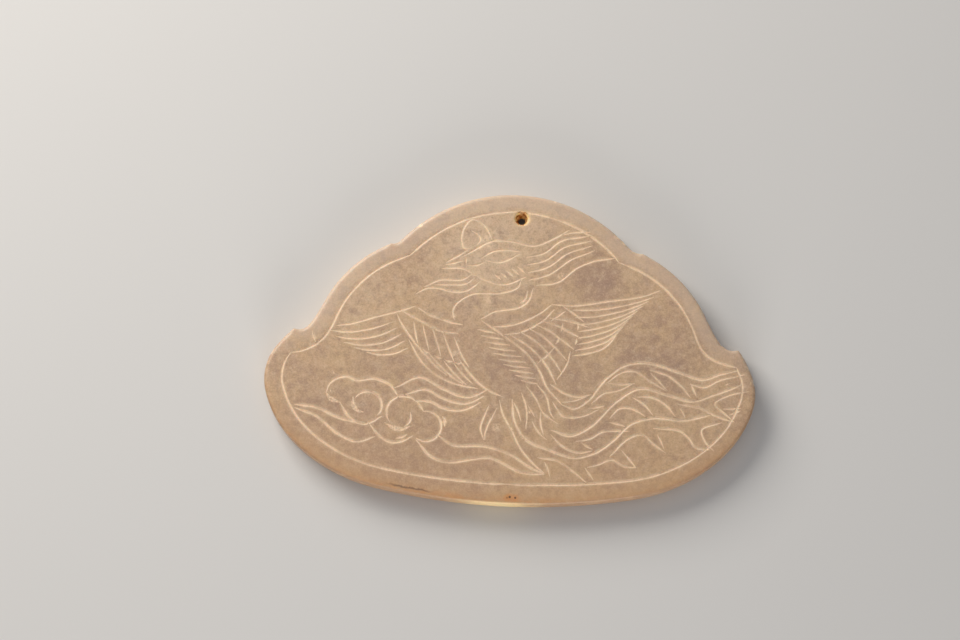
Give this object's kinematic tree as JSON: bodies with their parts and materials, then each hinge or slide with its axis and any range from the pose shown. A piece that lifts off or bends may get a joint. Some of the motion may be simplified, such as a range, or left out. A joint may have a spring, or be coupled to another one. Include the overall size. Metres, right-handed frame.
{
  "type": "lobed jade pendant plaque",
  "caption": "Cloud-shaped flat jade plaque, its face incised with a border line and a long-tailed bird over clouds, with one drilled hanging hole near the top edge.",
  "frame": {"origin": "middle of the plain back face, on the surface that the plaque lies on", "axes": "+X along the plaque's length, +Y towards the drilled top edge, +Z out of the carved face"},
  "size_m": [0.085, 0.054, 0.005],
  "materials": {
    "jade": "polished"
  },
  "bodies": {
    "root": {"jade_plaque": "jade"}
  },
  "joints": []
}
